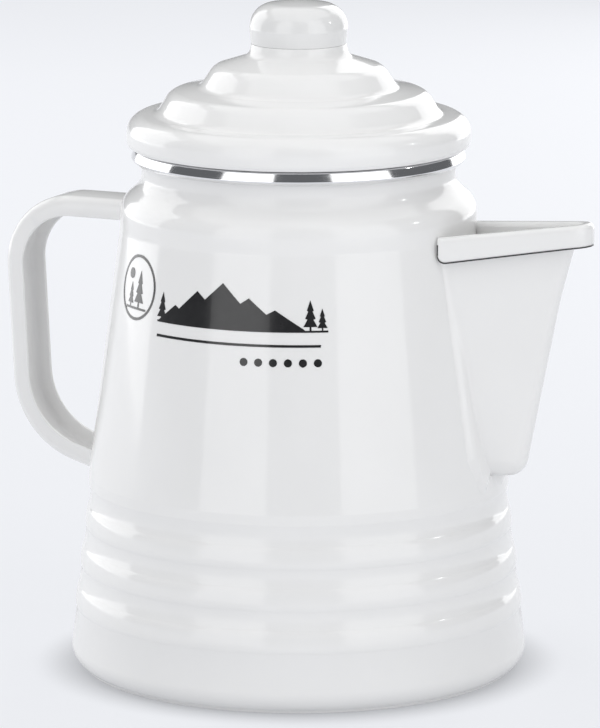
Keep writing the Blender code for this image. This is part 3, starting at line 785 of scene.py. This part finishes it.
def make_lid_skirt(skin):
    flange = LID_FOOT + SHEET + GAP
    inner = SKIRT_R - SKIRT_SHEET
    outline = rounded([
        (COLLAR_FLANGE_R, COLLAR_TOP, 0.2), (COLLAR_FLANGE_R, flange, 0.2), (SKIRT_R, flange, 0.8),
        (SKIRT_R, COLLAR_FOOT, 0.3), (inner, COLLAR_FOOT, 0.3), (inner, COLLAR_TOP, 0.9)], 5)
    return dress(revolved("lid_skirt", outline, closed=True), skin, "lid", "stainless", "lid_collar")


def make_knob(skin):
    """A hollow dome with a seat for its seal and a stub that locks under the lid by two lugs."""
    foot = LID_TOP + KNOB_SEAM
    stub_r, seat_top = KNOB_HOLE_R - 0.4, foot + SEAT_DEEP
    outline = rounded([
        (0.0, HEIGHT), KNOB_TOP_CORNER, KNOB_LOW_CORNER, (KNOB_FOOT_R, foot, 0.15), (SEAT_R, foot),
        (SEAT_R, seat_top), (stub_r, seat_top), (stub_r, STUB_FOOT, 0.4), (KNOB_BORE_R, STUB_FOOT, 0.4),
        (KNOB_BORE_R, KNOB_BORE_TOP, 3.0), (0.0, HEIGHT - KNOB_WALL)])
    knob = revolved("lid_knob", outline, 128)
    lug_root = KNOB_BORE_R + 0.6
    lug_mid = LID_TOP - SHEET - GAP - LUG_THICK / 2
    lug_long = LUG_REACH - lug_root
    lugs = [((lug_root + lug_long / 2, 0.0, lug_mid), (lug_long, 2 * LUG_HALF, LUG_THICK), turn)
            for turn in (0.0, 180.0)]
    combined(knob, blocks("lugs", lugs), "UNION")
    return dress(knob, skin, "knob", "knob_white", "knob")


def make_knob_seal(skin):
    foot = LID_TOP + GAP
    top = foot + SEAL_THICK
    outline = rounded([
        (SEAL_R, top, 0.2), (SEAL_R, foot, 0.2), (SEAL_INNER_R, foot, 0.2), (SEAL_INNER_R, top, 0.2)], 4)
    return dress(revolved("knob_seal", outline, 96, closed=True), skin, "knob", "silicone", "knob_gasket")


# ---------------------------------------------------------------- brewing insert

def make_riser(skin):
    bore = STEM_R - 0.8
    outline = rounded([
        (STEM_R, STEM_TOP, 0.3), (STEM_R, STEM_FOOT), (bore, STEM_FOOT), (bore, STEM_TOP, 0.3)], 4)
    return dress(revolved("riser_tube", outline, 64, closed=True), skin, "pump", "stainless", "pump_stem")


def make_bell(skin):
    hub, inner = STEM_R + GAP, BELL_R - BELL_SHEET
    outline = rounded([
        (hub + 0.8, HUB_TOP, 0.3), (hub + 0.8, BELL_TOP, 3.0), (BELL_R, BELL_FLOOR + 3.5, 1.2),
        (BELL_R, BELL_FLOOR), (inner, BELL_FLOOR), (inner, BELL_FLOOR + 3.0, 0.6),
        (hub + 2.5, BELL_TOP - 1.8, 1.5), (hub, BELL_TOP - 2.0), (hub, HUB_TOP)], 6)
    bell = revolved("bell_foot", outline, 128, closed=True)
    notches = [((BELL_R, 0.0, BELL_FLOOR), (8.0, 5.0, 3.6), 360.0 * (k + 0.5) / BELL_NOTCHES)
               for k in range(BELL_NOTCHES)]
    combined(bell, blocks("bell_notches", notches), "DIFFERENCE")
    return dress(bell, skin, "pump", "stainless", "stem_foot")


def make_stop(skin):
    bore = STEM_R + GAP
    outline = rounded([(bore, STOP_TOP), (bore + 2.6, STOP_TOP, 0.6), (bore + 2.6, STOP_FOOT, 1.5),
                       (bore, STOP_FOOT)], 6)
    return dress(revolved("basket_stop", outline, 64, closed=True), skin, "pump", "stainless", "stem_stop")


def make_basket(skin):
    outer, sheet, hole_r = BASKET_RIM_R - 3.0, BASKET_SHEET, 6.0
    rim_foot, floor_top = BASKET_TOP - BASKET_RIM_THICK, BASKET_FLOOR + BASKET_SHEET
    outline = rounded([
        (BASKET_RIM_R, BASKET_TOP, 0.5), (BASKET_RIM_R, rim_foot, 0.5), (outer + 1.0, rim_foot, 0.5),
        (outer, BASKET_FLOOR, 3.0), (hole_r, BASKET_FLOOR), (hole_r, floor_top),
        (outer - sheet, floor_top, 2.4), (outer + 1.0 - sheet, BASKET_TOP, 0.6)], 6)
    basket = revolved("coffee_basket", outline, 128, closed=True)
    holes = ring_of_points(PIERCED_RINGS, BASKET_FLOOR - 1.0)
    combined(basket, rods("basket_holes", holes, (0, 0, 1), PIERCED_HOLE_R, 3.0, 12), "DIFFERENCE")
    return dress(basket, skin, "basket", "stainless", "basket_cup")


def make_guide(skin):
    outer, bore = 5.7, STEM_R + 0.4
    flange_top = SLEEVE_FOOT + 0.8
    outline = rounded([
        (outer, SLEEVE_TOP, 0.2), (outer, flange_top, 0.6), (SLEEVE_FLANGE_R, flange_top, 0.2),
        (SLEEVE_FLANGE_R, SLEEVE_FOOT, 0.2), (bore, SLEEVE_FOOT), (bore, SLEEVE_TOP)], 4)
    guide = revolved("guide_tube", outline, 64, closed=True)
    return dress(guide, skin, "basket", "stainless", "basket_sleeve")


def make_spreader(skin):
    rest = BASKET_TOP + GAP
    bore, recess, sheet = STEM_R + 0.5, BASKET_RIM_R - 3.4, 0.6
    outline = rounded([
        (SPREADER_R, rest + sheet, 0.2), (SPREADER_R, rest, 0.2), (recess + 0.5, rest, 0.4),
        (recess, SPREADER_PLATE, 1.0), (bore, SPREADER_PLATE), (bore, SPREADER_TOP, 0.2),
        (bore + sheet, SPREADER_TOP, 0.2), (bore + sheet, SPREADER_PLATE + sheet, 0.6),
        (recess - sheet, SPREADER_PLATE + sheet, 0.5), (recess - 0.1, rest + sheet, 0.6)], 5)
    plate = revolved("spreader", outline, 128, closed=True)
    holes = ring_of_points(PIERCED_RINGS, SPREADER_PLATE - 1.0)
    combined(plate, rods("spreader_holes", holes, (0, 0, 1), PIERCED_HOLE_R, 3.0, 12), "DIFFERENCE")
    return dress(plate, skin, "spreader", "stainless", "spreader_plate")


# ---------------------------------------------------------------- print on the pot

def pine(x, foot, tall):
    """Outline of a small pine: three stacked skirts on a trunk."""
    wide = tall * 0.46
    side = [(wide * 0.07, foot), (wide * 0.07, foot + tall * 0.14)]
    for tier in range(3):
        low_edge = foot + tall * (0.14 + 0.26 * tier)
        spread = wide * (1 - 0.25 * tier) / 2
        side += [(spread, low_edge), (spread * 0.42, low_edge + tall * 0.24)]
    side[-1] = (0.0, foot + tall)
    return [(x + a, b) for a, b in side] + [(x - a, b) for a, b in reversed(side[:-1])]


def disc(x, z, radius, turns=48):
    return [(x + radius * math.cos(2 * math.pi * k / turns), z + radius * math.sin(2 * math.pi * k / turns))
            for k in range(turns)]


def bar(left, right, low_edge, high_edge):
    return [(left, low_edge), (right, low_edge), (right, high_edge), (left, high_edge)]


PRINT_AZIMUTH = -97.0
BADGE = (-31.0, 128.0)     # round the pot and up, the middle of the round badge


def inked_shapes():
    """Solid black areas, as (round the pot, height): mountain range, pines, lines and dots."""
    ground = 119.6
    ridge = [(-18.0, 0.0), (-11.0, 5.6), (-9.4, 4.6), (-2.6, 10.8), (0.4, 8.4), (6.6, 14.0), (12.8, 8.0),
             (15.6, 9.8), (21.4, 5.0), (24.2, 6.4), (33.0, 0.8), (34.0, 0.0)]
    ridge = [(x, ground + rise) for x, rise in ridge]
    pines = [pine(x, ground, tall) for x, tall in ((-16.6, 9.0), (35.4, 9.6), (39.2, 7.0))]
    foothills = bar(-18.4, 41.0, ground - 0.4, ground + 0.2)
    line = bar(-18.0, 38.6, 114.6, 115.4)
    dots = [disc(14.6 + 4.6 * k, 109.8, 1.25, 24) for k in range(6)]
    return [ridge, *pines, foothills, line, *dots]


def badge_picture():
    """Black inside the badge's ring: two pines and a low sun."""
    x, z = BADGE
    return [pine(x + 1.6, z - 6.2, 11.6), pine(x - 3.4, z - 6.2, 7.6), disc(x - 4.2, z + 4.0, 1.7, 24),
            bar(x - 6.0, x + 6.0, z - 6.9, z - 6.2)]


def slab(name, outlines, thick):
    """Flat outlines made into a plate of this thickness, centred on its own plane."""
    shape = bmesh.new()
    for outline in outlines:
        shape.faces.new([shape.verts.new((a, b, thick / 2)) for a, b in outline])
    lifted = bmesh.ops.extrude_face_region(shape, geom=shape.faces[:])
    for corner in (g for g in lifted["geom"] if isinstance(g, bmesh.types.BMVert)):
        corner.co.z = -thick / 2
    bmesh.ops.triangulate(shape, faces=shape.faces[:])
    return finish_mesh(name, shape)


def make_print(skin):
    """The print: flat shapes cut into narrow strips, laid on the cone and given the ink's thickness."""
    ink = slab("fired_emblem", [disc(*BADGE, 10.3)], 4.0)
    combined(ink, slab("badge_middle", [disc(*BADGE, 9.4)], 8.0), "DIFFERENCE")
    for outline in badge_picture() + inked_shapes():
        combined(ink, slab("shape", [outline], 4.0), "UNION")
    shape = bmesh.new()
    shape.from_mesh(ink.data)
    behind = [face for face in shape.faces if face.calc_center_median().z < 1.9]
    bmesh.ops.delete(shape, geom=behind, context="FACES")
    for k in range(-42, 43):
        bmesh.ops.bisect_plane(shape, geom=shape.verts[:] + shape.edges[:] + shape.faces[:],
                               plane_co=(k * 1.0, 0, 0), plane_no=(1, 0, 0))
    for corner in shape.verts:
        around, z = corner.co.x, corner.co.y
        radius = float(wall_radius(z)) + 0.10
        angle = math.radians(PRINT_AZIMUTH) + around / float(wall_radius(115.0))
        corner.co = Vector((radius * math.cos(angle), radius * math.sin(angle), z)) * MM
    mesh = bpy.data.meshes.new("fired_emblem")
    shape.to_mesh(mesh)
    shape.free()
    ink.data = mesh
    solidified(ink, 0.14)
    ink.data.shade_smooth()
    ink.data.set_sharp_from_angle(angle=math.radians(40))
    return dress(ink, skin, "pot", "white_enamel")


# ---------------------------------------------------------------- stage

CAMERA_AZIMUTH = math.radians(-67.0)
CAMERA_DISTANCE, CAMERA_HEIGHT = 1.8, 0.455
AIM = Vector((0.0005, 0.0, 0.0975))


def make_camera():
    camera = bpy.data.objects.new("camera", bpy.data.cameras.new("camera"))
    bpy.context.scene.collection.objects.link(camera)
    camera.data.sensor_width = 36.0
    camera.data.lens = 283.3
    camera.data.clip_end = 30.0
    camera.location = (CAMERA_DISTANCE * math.cos(CAMERA_AZIMUTH), CAMERA_DISTANCE * math.sin(CAMERA_AZIMUTH),
                       CAMERA_HEIGHT)
    camera.rotation_euler = (AIM - camera.location).to_track_quat("-Z", "Y").to_euler()
    bpy.context.scene.camera = camera


def softbox(name, around, distance, bottom, top, wide, radiance, aim_z=0.1):
    """An upright light at an angle from the camera's side of the pot, facing the pot."""
    data = bpy.data.lights.new(name, "AREA")
    data.shape = "RECTANGLE"
    tall = top - bottom
    data.size, data.size_y = wide, tall
    data.energy = radiance * math.pi * wide * tall
    light = bpy.data.objects.new(name, data)
    bpy.context.scene.collection.objects.link(light)
    angle = CAMERA_AZIMUTH + math.radians(around)
    middle = (bottom + top) / 2
    light.location = (distance * math.cos(angle), distance * math.sin(angle), middle)
    aim = Vector((0, 0, aim_z)) - light.location
    light.rotation_euler = aim.to_track_quat("-Z", "Y").to_euler()
    light.visible_camera = False


def make_lights():
    softbox("left_box", -35.5, 1.5, 0.0, 1.75, 1.0, 1.5, aim_z=0.87)
    softbox("right_box", 44.5, 1.5, 0.0, 1.75, 1.2, 1.5, aim_z=0.87)
    softbox("left_wall", -124.0, 1.5, 0.0, 1.5, 1.4, 1.95, aim_z=0.75)
    softbox("right_wall", 150.0, 1.5, 0.0, 1.5, 1.1, 1.9, aim_z=0.75)
    softbox("kicker", 86.0, 1.3, 0.75, 0.81, 0.08, 30.0)
    top = bpy.data.lights.new("ceiling", "AREA")
    top.shape = "RECTANGLE"
    top.size = top.size_y = 3.0
    top.energy = 1.08 * math.pi * top.size ** 2
    ceiling = bpy.data.objects.new("ceiling", top)
    bpy.context.scene.collection.objects.link(ceiling)
    ceiling.location = (0, 0, 2.0)
    ceiling.visible_camera = False


def make_world():
    world = bpy.data.worlds.new("studio")
    bpy.context.scene.world = world
    world.use_nodes = True
    world.node_tree.nodes["Background"].inputs["Color"].default_value = (0.92, 0.95, 1.0, 1.0)
    world.node_tree.nodes["Background"].inputs["Strength"].default_value = 0.15


def make_floor():
    bpy.ops.mesh.primitive_circle_add(vertices=96, radius=8.0, fill_type="NGON")
    floor = bpy.context.object
    floor.name = "floor"
    floor.data.materials.append(backdrop_with_painted_shadow())


# ---------------------------------------------------------------- build

def build():
    make_camera()
    make_world()
    make_lights()
    make_floor()
    white, steel = enamel(), spun_steel()
    make_pot(white)
    make_base(white)
    make_mouth_ring(polished_trim())
    make_spout(white)
    make_hem(white)
    make_hem_edge(bare_edge_and_painted_shade())
    make_handle(white)
    make_print(fired_print())
    make_lid(white)
    make_lid_skirt(steel)
    make_knob(moulded_white())
    make_knob_seal(soft_silicone())
    make_riser(spun_steel("drawn_tube", 0.18))
    make_bell(steel)
    make_stop(steel)
    make_basket(steel)
    make_guide(steel)
    make_spreader(steel)
    bpy.context.scene.view_settings.view_transform = "Standard"


build()
